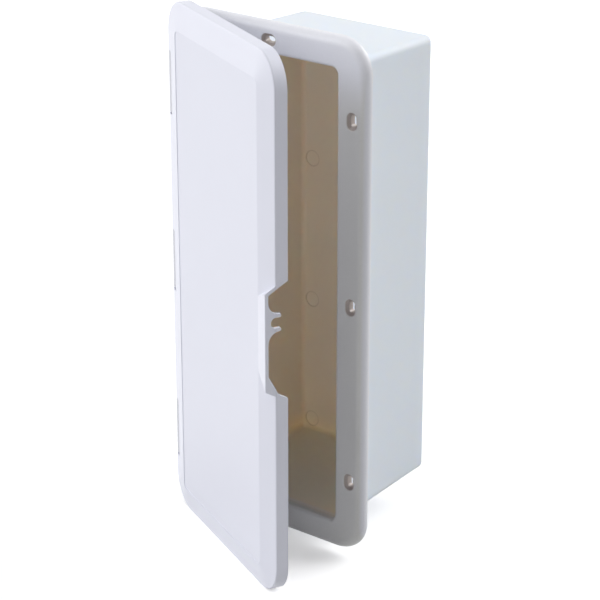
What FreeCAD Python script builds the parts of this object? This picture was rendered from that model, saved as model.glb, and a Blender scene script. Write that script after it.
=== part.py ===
import FreeCAD
import Part
import os
from math import sqrt

# A white storage box that is let into a wall, with a hinged front door.
# Millimetres. +X runs to the right along the front frame, +Y runs back into
# the wall and +Z up. The origin is the middle of the frame, on the plane where
# the frame lies on the wall. The door is drawn closed and then swung open.

# Pose that is stored
door_open_angle = 26.0

# Front frame, the flange that lies on the wall
flange_width = 157.0
flange_height = 357.0
flange_corner_radius = 23.0
flange_thickness = 6.5
flange_roll_land = 0.1
flange_skin = 2.5
flange_rib_thickness = 1.8
ribs_per_screw_spacing = 4

# Opening and tub behind the flange
frame_side_width = 23.1
frame_end_width = 20.3
opening_corner_radius = 5.0
opening_edge_rounding = 2.2
tub_wall = 2.2
tub_depth = 98.0
tub_floor = 2.6
tub_outer_taper = 2.8
tub_inner_taper = 3.5
tub_outer_corner_radius = 5.0
tub_back_rounding = 3.6
tub_inside_rounding = 3.0

# Round marks sunk in the back wall, in two columns
mark_diameter = 11.2
mark_depth = 0.4
mark_side_inset = 8.1
mark_end_inset = 7.7
mark_row_shares = (-1.0, -0.36, 0.36, 1.0)

# Countersunk screw slots
screw_edge_inset = 11.4
screw_row_inset = 53.0
slot_width = 4.5
slot_travel = 3.7
sink_width = 8.8
screw_boss_margin = 2.0

# Hinge: barrels on the tub, notches in the door and a pin through each
hinge_edge_gap = 2.25
hinge_axis_height = 5.5
barrel_radius = 4.0
barrel_length = 41.6
barrel_web_height = 4.0
barrel_web_reach = 4.5
barrel_web_drop = 0.5
pin_radius = 1.5
pin_running_clearance = 0.05
pin_seat_clearance = 0.02
pin_seat_length = 5.2
pin_snap_width = 2.7
pin_chamfer = 0.4
notch_radial_clearance = 0.35
notch_front_reach = 5.8
notch_end_gap = 1.0

# Door shell
door_overlap = 5.0
door_corner_radius = 23.0
door_rim_front = 9.0
door_wall_gap = 0.5
door_lip_thickness = 2.3
door_skin = 2.2
door_edge_rounding = 1.2
door_hinge_radius = 3.5
door_hinge_rounding = 3.4
bevel_width = 18.0
bevel_depth = 3.8
bevel_inner_radius = 4.5
panel_step = 0.3
panel_land = 0.5

# Finger lip: the border of the free edge turns forward, and ends in slopes
finger_lip_rise = 3.5
finger_lip_ridge_length = 50.6
finger_lip_crest_length = 66.2
finger_lip_foot_length = 74.6
finger_lip_rounding = 0.8

# Finger notch in the return wall under that lip
notch_root_drop = 2.4
notch_root_length = 64.0
notch_back_length = 79.6
gusset_drop = 12.7
gusset_reach = 6.9

# Forked catch that springs from the edge of the notch
catch_height = 12.9
catch_prong = 2.2
catch_slot_radius = 3.6
catch_slot_depth = 7.1
catch_length = 8.8
catch_fillet = 8.0
catch_tip_radius = 0.9

# Overrun of cutting shapes, and how near two places count as one
overrun = 1.0
same_place = 0.01

# Derived places
half_width = flange_width / 2
half_height = flange_height / 2
opening_half_width = half_width - frame_side_width
opening_half_height = half_height - frame_end_width
root_half_width = opening_half_width + tub_wall
root_half_height = opening_half_height + tub_wall
screw_spacing = half_height - screw_row_inset
screw_x = half_width - screw_edge_inset
screw_z = half_height - screw_edge_inset
mark_x = opening_half_width - tub_inner_taper - mark_side_inset
mark_z = opening_half_height - tub_inner_taper - mark_end_inset
hinge_x = -half_width - hinge_edge_gap
hinge_y = -hinge_axis_height
hinge_heights = (screw_spacing, 0.0, -screw_spacing)
notch_half_length = barrel_length / 2 + notch_end_gap
door_left = hinge_x - door_hinge_radius
door_right = half_width + door_overlap
door_half_height = half_height + door_overlap
rim_y = -door_rim_front
ridge_y = rim_y - bevel_depth
panel_y = ridge_y + panel_step
door_back_y = -door_wall_gap
ridge_right = door_right - bevel_width
ridge_left = door_left + door_hinge_radius + bevel_width
ridge_half_height = door_half_height - bevel_width
crest_y = ridge_y - finger_lip_rise
notch_root_y = crest_y + notch_root_drop


def vector(x, y, z):
    return FreeCAD.Vector(x, y, z)


def box(x0, x1, y0, y1, z0, z1):
    return Part.makeBox(x1 - x0, y1 - y0, z1 - z0, vector(x0, y0, z0))


def rounded_outline(left, right, low, high, radius, y):
    """Rectangle with round corners in a plane that faces forward."""
    corner = sqrt(0.5) * radius
    inner = [
        (right - radius, high - radius, 1, 1),
        (left + radius, high - radius, -1, 1),
        (left + radius, low + radius, -1, -1),
        (right - radius, low + radius, 1, -1),
    ]
    arcs = []
    for index, (x, z, side_x, side_z) in enumerate(inner):
        across = vector(x + side_x * radius, y, z)
        along = vector(x, y, z + side_z * radius)
        middle = vector(x + side_x * corner, y, z + side_z * corner)
        ends = (across, along) if index % 2 == 0 else (along, across)
        arcs.append((ends[0], middle, ends[1]))
    edges = []
    for index, (start, middle, end) in enumerate(arcs):
        following = arcs[(index + 1) % len(arcs)][0]
        edges.append(Part.Arc(start, middle, end).toShape())
        edges.append(Part.LineSegment(end, following).toShape())
    return Part.Wire(edges)


def centred_outline(half_x, half_z, radius, y):
    return rounded_outline(-half_x, half_x, -half_z, half_z, radius, y)


def prism(outline, depth):
    return Part.Face(outline).extrude(vector(0, depth, 0))


def frustum(front, back):
    return Part.makeLoft([front, back], True, True)


def polygon_prism(points, axis_length):
    """Solid from corner points of a flat outline, pushed along a vector."""
    wire = Part.makePolygon(points + [points[0]])
    return Part.Face(wire).extrude(axis_length)


def edges_at(shape, y, keep=lambda bound: True):
    """Edges that lie in the plane at y and whose box passes the test."""
    found = []
    for edge in shape.Edges:
        bound = edge.BoundBox
        flat = abs(bound.YMin - y) < same_place and abs(bound.YMax - y) < same_place
        if flat and keep(bound):
            found.append(edge)
    return found


def cylinder_y(x, z, radius, y0, y1):
    return Part.makeCylinder(radius, y1 - y0, vector(x, y0, z), vector(0, 1, 0))


def hinge_cylinder(radius, z0, z1):
    return Part.makeCylinder(radius, z1 - z0, vector(hinge_x, hinge_y, z0))


def stadium(x, z, width, travel, upright, y0, y1):
    """Slot-shaped solid: two round ends joined by a block."""
    half = travel / 2
    radius = width / 2
    shift_x, shift_z = (0, half) if upright else (half, 0)
    ends = []
    for side in (-1, 1):
        ends.append(cylinder_y(x + side * shift_x, z + side * shift_z, radius, y0, y1))
    reach_x, reach_z = (radius, half) if upright else (half, radius)
    middle = box(x - reach_x, x + reach_x, y0, y1, z - reach_z, z + reach_z)
    return ends[0].fuse([ends[1], middle]).removeSplitter()


def countersunk_slot(x, z, upright):
    """Cutting shape of one screw slot with its sloping seat."""
    front = -flange_thickness
    sink_depth = (sink_width - slot_width) / 2
    shaft = stadium(x, z, slot_width, slot_travel, upright, front - overrun, overrun)
    half = slot_travel / 2
    top = sink_width / 2 + overrun
    depth = sink_depth + overrun
    start = front - overrun
    cutter = shaft
    for side in (-1, 1):
        cx = x if upright else x + side * half
        cz = z + side * half if upright else z
        low = vector(cx, start, cz)
        cutter = cutter.fuse(Part.makeCone(top, slot_width / 2, depth, low, vector(0, 1, 0)))
    narrow = slot_width / 2
    end = start + depth
    if upright:
        corners = [(x - top, start), (x + top, start), (x + narrow, end), (x - narrow, end)]
        points = [vector(px, py, z - half) for px, py in corners]
        cutter = cutter.fuse(polygon_prism(points, vector(0, 0, slot_travel)))
    else:
        corners = [(z - top, start), (z + top, start), (z + narrow, end), (z - narrow, end)]
        points = [vector(x - half, py, pz) for pz, py in corners]
        cutter = cutter.fuse(polygon_prism(points, vector(slot_travel, 0, 0)))
    return cutter


def screw_places():
    """Middle of every screw slot, and whether the slot stands upright."""
    sides = [(side * screw_x, z, True) for side in (-1, 1) for z in hinge_heights]
    ends = [(0.0, side * screw_z, False) for side in (-1, 1)]
    return sides + ends


def flange_channel():
    """Hollow behind the flange, less its ribs and the bosses of the slots."""
    depth = flange_thickness - flange_skin
    roll = flange_thickness - flange_roll_land - flange_skin
    inset = flange_skin
    radius = flange_corner_radius - inset
    outline = centred_outline(half_width - inset, half_height - inset, radius, -depth)
    ring = prism(outline, depth + overrun)
    ring = ring.makeFillet(roll, edges_at(ring, -depth))
    core = centred_outline(root_half_width, root_half_height, tub_outer_corner_radius, -depth - overrun)
    ring = ring.cut(prism(core, depth + overrun * 3))
    kept = []
    pitch = screw_spacing / ribs_per_screw_spacing
    half_rib = flange_rib_thickness / 2
    side_rows = int(root_half_height / pitch)
    for step in range(1, side_rows + 1):
        if step % ribs_per_screw_spacing:
            for z in (-step * pitch, step * pitch):
                kept.append(box(-half_width, half_width, -depth, overrun, z - half_rib, z + half_rib))
    for x in (-pitch, pitch):
        kept.append(box(x - half_rib, x + half_rib, -depth, overrun, -half_height, half_height))
    boss_width = sink_width + screw_boss_margin * 2
    for x, z, upright in screw_places():
        kept.append(stadium(x, z, boss_width, slot_travel, upright, -depth, overrun))
    return ring.cut(kept)


def storage_tub():
    """Tub, flange and hinge barrels, moulded as one."""
    front = -flange_thickness
    block = prism(centred_outline(half_width, half_height, flange_corner_radius, front), flange_thickness)
    block = block.makeFillet(flange_thickness - flange_roll_land, edges_at(block, front))
    block = block.cut(flange_channel())

    root = centred_outline(root_half_width, root_half_height, tub_outer_corner_radius, 0)
    back = centred_outline(
        root_half_width - tub_outer_taper,
        root_half_height - tub_outer_taper,
        tub_outer_corner_radius,
        tub_depth,
    )
    tub = frustum(root, back)
    tub = tub.makeFillet(tub_back_rounding, edges_at(tub, tub_depth))
    block = block.fuse(tub)

    inside_y = tub_depth - tub_floor
    mouth = centred_outline(opening_half_width, opening_half_height, opening_corner_radius, front)
    floor = centred_outline(
        opening_half_width - tub_inner_taper,
        opening_half_height - tub_inner_taper,
        opening_corner_radius,
        inside_y,
    )
    cavity = frustum(mouth, floor)
    cavity = cavity.makeFillet(tub_inside_rounding, edges_at(cavity, inside_y))
    block = block.cut(cavity).removeSplitter()
    reach = opening_half_width + same_place
    rim_edges = edges_at(block, front, lambda bound: bound.XMax < reach and bound.XMin > -reach)
    rim_edges = [edge for edge in rim_edges if abs(edge.BoundBox.ZMax) < opening_half_height + same_place]
    block = block.makeFillet(opening_edge_rounding, rim_edges)

    block = block.fuse(hinge_barrels())
    cutters = [countersunk_slot(x, z, upright) for x, z, upright in screw_places()]
    cutters += back_marks(inside_y)
    bore = pin_radius + pin_running_clearance
    cutters.append(hinge_cylinder(bore, -half_height, half_height))
    return block.cut(cutters).removeSplitter()


def hinge_barrels():
    """Round barrels on the left edge, each on a web that grows from the flange."""
    pieces = []
    web_front = hinge_y - barrel_web_drop
    web_right = -half_width + barrel_web_reach
    for z in hinge_heights:
        low, high = z - barrel_length / 2, z + barrel_length / 2
        web = box(hinge_x, web_right, web_front, web_front + barrel_web_height, low, high)
        pieces.append(hinge_cylinder(barrel_radius, low, high).fuse(web))
    return pieces


def back_marks(inside_y):
    """Shallow round marks in the back wall."""
    marks = []
    for share in mark_row_shares:
        for x in (-mark_x, mark_x):
            z = mark_z * share
            marks.append(cylinder_y(x, z, mark_diameter / 2, inside_y - overrun, inside_y + mark_depth))
    return marks


def trim(shape, a, b, c):
    """Cut off what lies on the side that the turn from a through b to c faces."""
    normal = (b - a).cross(c - a)
    normal.normalize()
    reach = flange_height
    across = b - a
    across.normalize()
    up = normal.cross(across)
    across *= reach
    up *= reach
    corners = [a + across * i + up * j for i, j in ((-1, -1), (1, -1), (1, 1), (-1, 1))]
    return shape.cut(polygon_prism(corners, normal * reach))


def finger_lip(wall):
    """Wedge that turns the border of the free edge forward. A wall makes its hollow."""
    slant = (finger_lip_crest_length - finger_lip_ridge_length) / 2 / bevel_width
    right = door_right - (door_lip_thickness if wall else 0)
    ridge = ridge_y + wall
    crest = ridge - finger_lip_rise * (right - ridge_right) / bevel_width
    ridge_half = finger_lip_ridge_length / 2 - wall
    crest_half = ridge_half + slant * (right - ridge_right)
    foot_half = finger_lip_foot_length / 2 - wall
    block = box(ridge_right, right, crest, rim_y + wall, -foot_half, foot_half)
    for side in (-1, 1):
        foot = vector(ridge_right, ridge, side * ridge_half)
        top = vector(right, crest, side * crest_half)
        edge = vector(right, rim_y + wall, side * foot_half)
        block = trim(block, foot, top, edge) if side > 0 else trim(block, foot, edge, top)
    low = vector(ridge_right, ridge, -ridge_half)
    high = vector(ridge_right, ridge, ridge_half)
    block = trim(block, low, vector(right, crest, 0), high)
    if wall:
        return block
    return block.makeFillet(finger_lip_rounding, edges_at(block, crest))


def catch_fork(x0, x1):
    """Flat fork with its round fillets, on the edge of the notch."""
    root = notch_root_y
    tip = root + catch_length
    inner = catch_slot_radius
    outer = inner + catch_prong
    low, high = catch_height - outer, catch_height + outer
    slot_floor = tip - catch_slot_depth
    turn = catch_fillet * (1 - sqrt(0.5))
    embed = root - overrun

    def line(start, end):
        return Part.LineSegment(vector(x0, *start), vector(x0, *end)).toShape()

    def arc(start, middle, end):
        return Part.Arc(vector(x0, *start), vector(x0, *middle), vector(x0, *end)).toShape()

    wall_high = (root, high + catch_fillet)
    prong_high = (root + catch_fillet, high)
    slot_high = (slot_floor + inner, catch_height + inner)
    slot_low = (slot_floor + inner, catch_height - inner)
    prong_low = (root + catch_fillet, low)
    wall_low = (root, low - catch_fillet)
    edges = [
        line((embed, wall_high[1]), wall_high),
        arc(wall_high, (root + turn, high + turn), prong_high),
        line(prong_high, (tip, high)),
        line((tip, high), (tip, catch_height + inner)),
        line((tip, catch_height + inner), slot_high),
        arc(slot_high, (slot_floor, catch_height), slot_low),
        line(slot_low, (tip, catch_height - inner)),
        line((tip, catch_height - inner), (tip, low)),
        line((tip, low), prong_low),
        arc(prong_low, (root + turn, low - turn), wall_low),
        line(wall_low, (embed, wall_low[1])),
        line((embed, wall_low[1]), (embed, wall_high[1])),
    ]
    plate = Part.Face(Part.Wire(edges)).extrude(vector(x1 - x0, 0, 0))
    tip_edges = edges_at(plate, tip, lambda bound: bound.XLength > same_place)
    return plate.makeFillet(catch_tip_radius, tip_edges)


def finger_notch():
    """Cutting shape of the notch in the return wall, which leaves the fork."""
    x0 = door_right - door_lip_thickness - overrun
    x1 = door_right + overrun
    slope = (notch_back_length - notch_root_length) / 2 / (door_back_y - notch_root_y)
    back = overrun
    back_half = notch_back_length / 2 + slope * (back - door_back_y)
    root_half = notch_root_length / 2
    gusset_y = notch_root_y + gusset_reach
    gusset_z = -root_half - slope * gusset_reach
    corners = [
        (notch_root_y, root_half),
        (back, back_half),
        (back, -back_half),
        (gusset_y, gusset_z),
        (notch_root_y, gusset_z + gusset_drop),
    ]
    notch = polygon_prism([vector(x0, y, z) for y, z in corners], vector(x1 - x0, 0, 0))
    return notch.cut(catch_fork(x0, x1))


def rim_rounds(solid):
    """Radius at both ends of each rim edge: the hinge edge is rounder than the rest."""
    rounds = []
    for index, edge in enumerate(solid.Edges, 1):
        bound = edge.BoundBox
        if abs(bound.YMin - rim_y) > same_place or abs(bound.YMax - rim_y) > same_place:
            continue
        ends = [edge.valueAt(edge.FirstParameter), edge.valueAt(edge.LastParameter)]
        radii = [
            door_hinge_rounding if end.x < door_left + same_place else door_edge_rounding for end in ends
        ]
        rounds.append((index, radii[0], radii[1]))
    return rounds


def fillet_each(shape, rounds):
    """Round many edges at once, each from its start radius to its end radius."""
    document = FreeCAD.newDocument()
    base = document.addObject("Part::Feature", "base")
    base.Shape = shape
    fillet = document.addObject("Part::Fillet", "fillet")
    fillet.Base = base
    fillet.Edges = rounds
    document.recompute()
    rounded = fillet.Shape.copy()
    FreeCAD.closeDocument(document.Name)
    return rounded


def door_envelope():
    """Outer form of the door as if it were solid, with its bevelled border."""
    outer = rounded_outline(
        door_left, door_right, -door_half_height, door_half_height, door_corner_radius, rim_y
    )
    ridge = rounded_outline(
        ridge_left, ridge_right, -ridge_half_height, ridge_half_height, bevel_inner_radius, ridge_y
    )
    solid = prism(outer, door_back_y - rim_y).fuse(frustum(outer, ridge)).removeSplitter()
    solid = fillet_each(solid, rim_rounds(solid))
    pocket = rounded_outline(
        ridge_left + panel_land,
        ridge_right - panel_land,
        -ridge_half_height + panel_land,
        ridge_half_height - panel_land,
        bevel_inner_radius - panel_land,
        ridge_y - overrun,
    )
    return solid.cut(prism(pocket, overrun + panel_step))


def door_cavity():
    """Hollow of the door, which follows its skin and its lips."""
    inset = door_lip_thickness
    inner_y = rim_y + door_skin
    rim = rounded_outline(
        door_left + inset,
        door_right - inset,
        -door_half_height + inset,
        door_half_height - inset,
        door_corner_radius - inset,
        inner_y,
    )
    ridge = rounded_outline(
        ridge_left,
        ridge_right,
        -ridge_half_height,
        ridge_half_height,
        bevel_inner_radius,
        panel_y + door_skin,
    )
    return prism(rim, overrun - inner_y).fuse(frustum(rim, ridge))


def hinge_edge(envelope):
    """Round edge that the door turns on, cut to the outline of the door."""
    rod = hinge_cylinder(door_hinge_radius, -door_half_height, door_half_height)
    return rod.common(envelope)


def behind_hinge_edge():
    """Space behind the hinge edge that the swinging door has to keep clear."""
    left = door_left - overrun
    block = box(left, hinge_x, hinge_y, overrun, -door_half_height, door_half_height)
    return block.cut(hinge_cylinder(door_hinge_radius, -door_half_height, door_half_height))


def barrel_notches():
    """Notches in the hinge edge, round behind the barrels and open in front of them."""
    cut_radius = barrel_radius + notch_radial_clearance
    left = door_left - overrun
    right = hinge_x + notch_front_reach
    cutters = []
    for z in hinge_heights:
        low, high = z - notch_half_length, z + notch_half_length
        cutters.append(hinge_cylinder(cut_radius, low, high))
        cutters.append(box(left, right, ridge_y - overrun, hinge_y, low, high))
    return cutters


def pin_seats():
    """Bores for the pin ends, each with a snap slot that opens to the back."""
    seat = pin_radius + pin_seat_clearance
    half_length = notch_half_length + pin_seat_length
    half_snap = pin_snap_width / 2
    cutters = []
    for z in hinge_heights:
        low, high = z - half_length, z + half_length
        cutters.append(hinge_cylinder(seat, low, high))
        cutters.append(box(hinge_x - half_snap, hinge_x + half_snap, hinge_y, overrun, low, high))
    return cutters


def closed_door():
    """Door moulding in its closed place."""
    envelope = door_envelope().fuse(finger_lip(0)).removeSplitter()
    shell = envelope.cut([door_cavity(), finger_lip(door_skin), behind_hinge_edge()])
    shell = shell.fuse(hinge_edge(envelope))
    return shell.cut([finger_notch()] + barrel_notches() + pin_seats()).removeSplitter()


def hinge_pin(z):
    """Plain steel pin through one barrel."""
    half_length = notch_half_length + pin_seat_length
    pin = hinge_cylinder(pin_radius, z - half_length, z + half_length)
    rims = [edge for edge in pin.Edges if edge.BoundBox.ZLength < same_place]
    return pin.makeChamfer(pin_chamfer, rims)


def swing_open(shape):
    """Turn a closed-door shape about the hinge to the stored pose."""
    turned = shape.copy()
    turned.rotate(vector(hinge_x, hinge_y, 0), vector(0, 0, 1), -door_open_angle)
    return turned


def main():
    os.makedirs("parts", exist_ok=True)
    top, middle, bottom = hinge_heights
    nodes = {
        "storage_tub": storage_tub(),
        "door": swing_open(closed_door()),
        "hinge_pin_top": swing_open(hinge_pin(top)),
        "hinge_pin_middle": swing_open(hinge_pin(middle)),
        "hinge_pin_bottom": swing_open(hinge_pin(bottom)),
    }
    for name, shape in nodes.items():
        shape.exportStep(f"parts/{name}.step")
        print(name, shape.isValid(), len(shape.Solids), round(shape.Volume, 1), shape.BoundBox)


main()
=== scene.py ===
import bpy
from math import radians
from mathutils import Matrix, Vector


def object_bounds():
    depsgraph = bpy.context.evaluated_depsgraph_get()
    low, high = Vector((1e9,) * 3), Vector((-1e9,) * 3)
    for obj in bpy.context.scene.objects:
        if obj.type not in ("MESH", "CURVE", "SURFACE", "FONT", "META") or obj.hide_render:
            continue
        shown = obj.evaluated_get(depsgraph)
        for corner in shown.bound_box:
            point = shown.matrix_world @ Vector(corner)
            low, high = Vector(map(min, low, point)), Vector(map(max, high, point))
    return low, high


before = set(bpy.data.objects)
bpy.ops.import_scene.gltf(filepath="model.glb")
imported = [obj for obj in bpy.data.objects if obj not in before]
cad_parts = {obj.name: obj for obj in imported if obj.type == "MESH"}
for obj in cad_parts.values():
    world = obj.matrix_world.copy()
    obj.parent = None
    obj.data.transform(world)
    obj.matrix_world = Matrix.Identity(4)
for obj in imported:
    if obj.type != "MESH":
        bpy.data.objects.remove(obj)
cad_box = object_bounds()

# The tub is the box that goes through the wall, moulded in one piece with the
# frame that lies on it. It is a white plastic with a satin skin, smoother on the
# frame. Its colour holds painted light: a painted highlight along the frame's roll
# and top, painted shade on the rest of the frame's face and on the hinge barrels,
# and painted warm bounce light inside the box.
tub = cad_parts["storage_tub"]
tub_cool_white = (0.79, 0.85, 0.965, 1)
tub_cool_shade = (0.775, 0.835, 0.95, 1)
frame_painted_shade = (0.78, 0.775, 0.748, 1)
roll_painted_highlight = (0.88, 0.89, 0.945, 1)
barrel_painted_shade = (0.71, 0.715, 0.77, 1)
inside_painted_warm_bounce = (0.885, 0.815, 0.735, 1)
low_painted_warm_bounce = (0.99, 0.84, 0.715, 1)
mark_shadow = (0.55, 0.50, 0.45, 1)
slot_shadow = (0.44, 0.38, 0.35, 1)
tub_cloud_scale = 14
cloud_detail = 2

# The inside of the box narrows towards its back. Each pair named fade says where
# a change of the skin starts and where it is complete.
inside_half_width = 0.0558
inside_half_height = 0.1586
inside_depth = 0.0967
inside_taper = 0.0316
wall_blend = 0.0003
rim_fade = (-0.0045, 0.004)
front_fade = (0.0006, -0.0006)
side_roll_highlight_fade = (0.0745, 0.0775)
top_highlight_fade = (0.125, 0.165)
barrel_shade_fade = (-0.0788, -0.0792)
low_bounce_fade = (-0.14, -0.155)

# The grain and the waves are those of the mould. The thin walls let light through,
# except where the frame lies on the wall.
grain_scale = 2600
grain_detail = 3
grain_height = 0.00002
grain_span = (0.3, 0.7)
wave_scale = 55
wave_detail = 2
wave_height = 0.00012
tub_roughness = (0.46, 0.58)
frame_smoothing = 0.22
glow_reach = (1.0, 0.88, 0.74)
glow_depth = 0.004


def new_material(name):
    material = bpy.data.materials.new(name)
    material.use_nodes = True
    tree = material.node_tree
    return material, tree, tree.nodes["Principled BSDF"]


def object_place(tree):
    return tree.nodes.new("ShaderNodeTexCoord").outputs["Object"]


def math_node(tree, operation, first, second=0.0):
    node = tree.nodes.new("ShaderNodeMath")
    node.operation = operation
    for socket, value in zip(node.inputs, (first, second)):
        if isinstance(value, (int, float)):
            socket.default_value = value
        else:
            tree.links.new(value, socket)
    return node.outputs["Value"]


def product_node(tree, first, *others):
    for other in others:
        first = math_node(tree, "MULTIPLY", first, other)
    return first


def range_node(tree, value, start, end, low=0.0, high=1.0):
    """Goes smoothly from low, where the value is start, to high, where it is end."""
    node = tree.nodes.new("ShaderNodeMapRange")
    node.interpolation_type = "SMOOTHSTEP"
    node.inputs["From Min"].default_value = start
    node.inputs["From Max"].default_value = end
    node.inputs["To Min"].default_value = low
    node.inputs["To Max"].default_value = high
    tree.links.new(value, node.inputs["Value"])
    return node.outputs["Result"]


def within_wall(tree, value, limit):
    return range_node(tree, value, limit + wall_blend, limit - wall_blend)


def noise_node(tree, place, scale, detail):
    node = tree.nodes.new("ShaderNodeTexNoise")
    node.inputs["Scale"].default_value = scale
    node.inputs["Detail"].default_value = detail
    tree.links.new(place, node.inputs["Vector"])
    return node.outputs["Fac"]


def mix_colour(tree, share, first, second):
    """The first colour where the share is 0, and the second where it is 1."""
    node = tree.nodes.new("ShaderNodeMix")
    node.data_type = "RGBA"
    tree.links.new(share, node.inputs["Factor"])
    for socket, value in ((node.inputs["A"], first), (node.inputs["B"], second)):
        if isinstance(value, tuple):
            socket.default_value = value
        else:
            tree.links.new(value, socket)
    return node.outputs["Result"]


def bump_node(tree, height, distance, normal=None):
    node = tree.nodes.new("ShaderNodeBump")
    node.inputs["Strength"].default_value = 1.0
    node.inputs["Distance"].default_value = distance
    tree.links.new(height, node.inputs["Height"])
    if normal is not None:
        tree.links.new(normal, node.inputs["Normal"])
    return node.outputs["Normal"]


def moulded_skin(tree, place, shader, roughness):
    """Waves and grain of the mould as bump. Returns the roughness the grain makes."""
    wave = noise_node(tree, place, wave_scale, wave_detail)
    grain = noise_node(tree, place, grain_scale, grain_detail)
    waved = bump_node(tree, wave, wave_height)
    tree.links.new(bump_node(tree, grain, grain_height, waved), shader.inputs["Normal"])
    return range_node(tree, grain, *grain_span, *roughness)


def dress(node, material):
    node.data.materials.clear()
    node.data.materials.append(material)


tub_material, tree, shader = new_material("tub_satin_white")
place = object_place(tree)
split = tree.nodes.new("ShaderNodeSeparateXYZ")
tree.links.new(place, split.inputs["Vector"])
x, y, z = split.outputs
side_x = math_node(tree, "ABSOLUTE", x)
high_z = math_node(tree, "ABSOLUTE", z)
taper = math_node(tree, "MULTIPLY", y, inside_taper)
in_width = within_wall(tree, math_node(tree, "ADD", side_x, taper), inside_half_width)
in_height = within_wall(tree, math_node(tree, "ADD", high_z, taper), inside_half_height)
in_depth = within_wall(tree, y, inside_depth)
past_rim = range_node(tree, y, *rim_fade)
inside = product_node(tree, in_width, in_height, in_depth, past_rim)

cloud = noise_node(tree, place, tub_cloud_scale, cloud_detail)
skin = mix_colour(tree, cloud, tub_cool_white, tub_cool_shade)
in_front = range_node(tree, y, *front_fade)
# Painted highlight: the frame's rolled side edge and the top of the frame are whiter.
side_roll_highlight_share = range_node(tree, side_x, *side_roll_highlight_fade)
top_highlight_share = range_node(tree, z, *top_highlight_fade)
frame_highlight_share = math_node(tree, "MAXIMUM", side_roll_highlight_share, top_highlight_share)
# The rest of the frame's face carries painted shade, darker and warmer than the tub.
frame_painted_light = mix_colour(tree, frame_highlight_share, frame_painted_shade, roll_painted_highlight)
skin = mix_colour(tree, in_front, skin, frame_painted_light)
# Painted shade: the hinge barrels are darker than the rest of the tub.
barrel_shade_share = range_node(tree, x, *barrel_shade_fade)
skin = mix_colour(tree, barrel_shade_share, skin, barrel_painted_shade)
# Painted warm bounce light inside the box, warmer towards its floor.
low_bounce_share = range_node(tree, z, *low_bounce_fade)
inside_painted_bounce = mix_colour(tree, low_bounce_share, inside_painted_warm_bounce, low_painted_warm_bounce)
skin = mix_colour(tree, inside, skin, inside_painted_bounce)


def far_from(tree, value, centre):
    return math_node(tree, "ABSOLUTE", math_node(tree, "SUBTRACT", value, centre))


def distance_node(tree, first, second):
    first = math_node(tree, "MULTIPLY", first, first)
    second = math_node(tree, "MULTIPLY", second, second)
    return math_node(tree, "SQRT", math_node(tree, "ADD", first, second))


# A thin line of painted shade runs round each of the marks that are sunk in the
# back wall. They stand in two columns of four.
mark_x = 0.0438
mark_middle_z = 0.100
mark_half_gap = 0.047
mark_radius = 0.0056
mark_line_fade = (0.0008, 0.0002)
mark_line_share = 0.35
back_wall_fade = (0.090, 0.092)
mark_row = far_from(tree, far_from(tree, high_z, mark_middle_z), mark_half_gap)
from_mark = distance_node(tree, far_from(tree, side_x, mark_x), mark_row)
ring = range_node(tree, far_from(tree, from_mark, mark_radius), *mark_line_fade)
deep = range_node(tree, y, *back_wall_fade)
ring = product_node(tree, ring, deep, inside, mark_line_share)
skin = mix_colour(tree, ring, skin, mark_shadow)


def past_travel(tree, value):
    """How far a place lies beyond the straight part of a slot, along the slot."""
    beyond = math_node(tree, "SUBTRACT", value, slot_half_travel)
    return math_node(tree, "MAXIMUM", beyond, 0.0)


# The countersinks of the screw slots get painted shade: three upright slots down
# each side of the frame, and a lying one in the middle of its top and bottom.
slot_x = 0.0671
slot_pitch = 0.1255
slot_end_z = 0.1671
slot_half_travel = 0.00185
sink_rim_fade = (0.00445, 0.00415)
sink_depth_fade = (-0.00645, -0.0058)
slot_row = math_node(tree, "MINIMUM", high_z, far_from(tree, high_z, slot_pitch))
from_slot_x = far_from(tree, side_x, slot_x)
from_side_slot = distance_node(tree, from_slot_x, past_travel(tree, slot_row))
from_slot_z = far_from(tree, high_z, slot_end_z)
from_end_slot = distance_node(tree, from_slot_z, past_travel(tree, side_x))
from_slot = math_node(tree, "MINIMUM", from_side_slot, from_end_slot)
in_slot = range_node(tree, from_slot, *sink_rim_fade)
under_front = range_node(tree, y, *sink_depth_fade)
in_slot = product_node(tree, in_slot, under_front)
skin = mix_colour(tree, in_slot, skin, slot_shadow)
tree.links.new(skin, shader.inputs["Base Color"])

behind_front = range_node(tree, in_front, 0.0, 1.0, 1.0, 0.0)
tree.links.new(behind_front, shader.inputs["Subsurface Weight"])
shader.inputs["Subsurface Radius"].default_value = glow_reach
shader.inputs["Subsurface Scale"].default_value = glow_depth
satin = moulded_skin(tree, place, shader, tub_roughness)
smooth = math_node(tree, "MULTIPLY", in_front, frame_smoothing)
tree.links.new(math_node(tree, "SUBTRACT", satin, smooth), shader.inputs["Roughness"])
dress(tub, tub_material)

# The door is one shallow moulding: a flat panel in a sloping border, a lip round
# three sides of its back, a round hinge edge, and the fork at its finger notch. It
# is a white plastic with a smoother skin than the tub's.
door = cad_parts["door"]
door_white = (0.772, 0.785, 0.88, 1)
door_shade = (0.748, 0.76, 0.855, 1)
door_cloud_scale = 10
door_roughness = (0.30, 0.42)
door_material, tree, shader = new_material("door_gloss_white")
place = object_place(tree)
cloud = noise_node(tree, place, door_cloud_scale, cloud_detail)
skin = mix_colour(tree, cloud, door_white, door_shade)
tree.links.new(skin, shader.inputs["Base Color"])
gloss = moulded_skin(tree, place, shader, door_roughness)
tree.links.new(gloss, shader.inputs["Roughness"])
dress(door, door_material)

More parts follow.
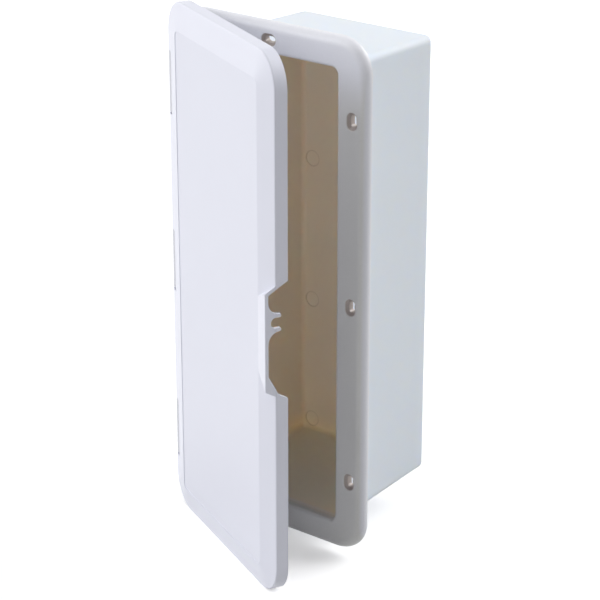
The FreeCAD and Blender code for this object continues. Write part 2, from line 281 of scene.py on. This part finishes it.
# Three plain steel pins carry the door: each goes through one barrel of the tub
# and snaps into the door above and below it. They are drawn wire, cut to length.
pin_steel = (0.55, 0.55, 0.57, 1)
pin_steel_shade = (0.45, 0.45, 0.47, 1)
pin_roughness = (0.28, 0.42)
draw_stretch = (1, 1, 0.02)
draw_scale = 6000
draw_detail = 2
draw_height = 0.00001
pin_material, tree, shader = new_material("pin_drawn_steel")
shader.inputs["Metallic"].default_value = 1.0
stretch = tree.nodes.new("ShaderNodeMapping")
stretch.inputs["Scale"].default_value = draw_stretch
tree.links.new(object_place(tree), stretch.inputs["Vector"])
draw_lines = noise_node(tree, stretch.outputs["Vector"], draw_scale, draw_detail)
steel = mix_colour(tree, draw_lines, pin_steel, pin_steel_shade)
tree.links.new(steel, shader.inputs["Base Color"])
drawn = range_node(tree, draw_lines, *grain_span, *pin_roughness)
tree.links.new(drawn, shader.inputs["Roughness"])
tree.links.new(bump_node(tree, draw_lines, draw_height), shader.inputs["Normal"])
for pin_name in ("hinge_pin_top", "hinge_pin_middle", "hinge_pin_bottom"):
    dress(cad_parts[pin_name], pin_material)

# The floor is a plain white sheet under the lowest edge of the door. The camera
# sees it white with the soft shadow on it, and it throws a duller light upwards.
floor_size = 12.0
floor_dull = (0.56, 0.56, 0.56, 1)
floor_white = (0.95, 0.95, 0.95, 1)
floor_glow = 0.40
floor_roughness = 0.9
plain_white = (1, 1, 1, 1)


def seen_ray(tree):
    """1 for what the camera sees, straight or in a gloss or through glass, else 0."""
    ray = tree.nodes.new("ShaderNodeLightPath").outputs
    seen = math_node(tree, "MAXIMUM", ray["Is Camera Ray"], ray["Is Glossy Ray"])
    return math_node(tree, "MAXIMUM", seen, ray["Is Transmission Ray"])


bpy.ops.object.select_all(action="DESELECT")
bpy.ops.mesh.primitive_plane_add(size=floor_size, location=(0, 0, cad_box[0].z))
floor = bpy.context.object
floor.name = "floor"
floor_material, tree, shader = new_material("floor_white")
shader.inputs["Roughness"].default_value = floor_roughness
shader.inputs["Specular IOR Level"].default_value = 0.0
seen = seen_ray(tree)
floor_skin = mix_colour(tree, seen, floor_dull, floor_white)
tree.links.new(floor_skin, shader.inputs["Base Color"])
glow = range_node(tree, seen, 0.0, 1.0, 0.0, floor_glow)
tree.links.new(glow, shader.inputs["Emission Strength"])
shader.inputs["Emission Color"].default_value = plain_white
dress(floor, floor_material)

# Light: a broad lamp from the left in front, weaker ones from the left and from
# high up, a strong and a weak one from behind on the right, and a weak even light
# from all round.
even_light = 0.05
seen_light = 1.0
world = bpy.data.worlds.new("studio")
bpy.context.scene.world = world
world.use_nodes = True
tree = world.node_tree
background = tree.nodes["Background"]
strength = range_node(tree, seen_ray(tree), 0.0, 1.0, even_light, seen_light)
tree.links.new(strength, background.inputs["Strength"])
background.inputs["Color"].default_value = plain_white


def soft_lamp(name, azimuth, elevation, strength, spread):
    lamp = bpy.data.lights.new(name, "SUN")
    lamp.energy = strength
    lamp.angle = radians(spread)
    holder = bpy.data.objects.new(name, lamp)
    holder.rotation_euler = (radians(90 - elevation), 0, radians(azimuth))
    bpy.context.scene.collection.objects.link(holder)


soft_lamp("lamp_front", azimuth=-30, elevation=22, strength=1.35, spread=50)
soft_lamp("lamp_left", azimuth=-82, elevation=16, strength=0.95, spread=40)
soft_lamp("lamp_high", azimuth=-30, elevation=62, strength=0.65, spread=40)
soft_lamp("lamp_rear", azimuth=142, elevation=33, strength=2.1, spread=40)
soft_lamp("lamp_rear_high", azimuth=150, elevation=62, strength=0.55, spread=40)

# Camera: a long lens from the right in front, looking down on the open door.
camera_sensor = 36.0
camera_lens = 134.2
camera_tilt = 68.23
camera_turn = 38.45
camera_data = bpy.data.cameras.new("camera")
camera_data.sensor_width = camera_sensor
camera_data.lens = camera_lens
camera = bpy.data.objects.new("camera", camera_data)
camera.location = (0.8757, -1.0768, 0.5412)
camera.rotation_euler = (radians(camera_tilt), 0, radians(camera_turn))
bpy.context.scene.collection.objects.link(camera)
bpy.context.scene.camera = camera
bpy.context.scene.view_settings.view_transform = "Standard"
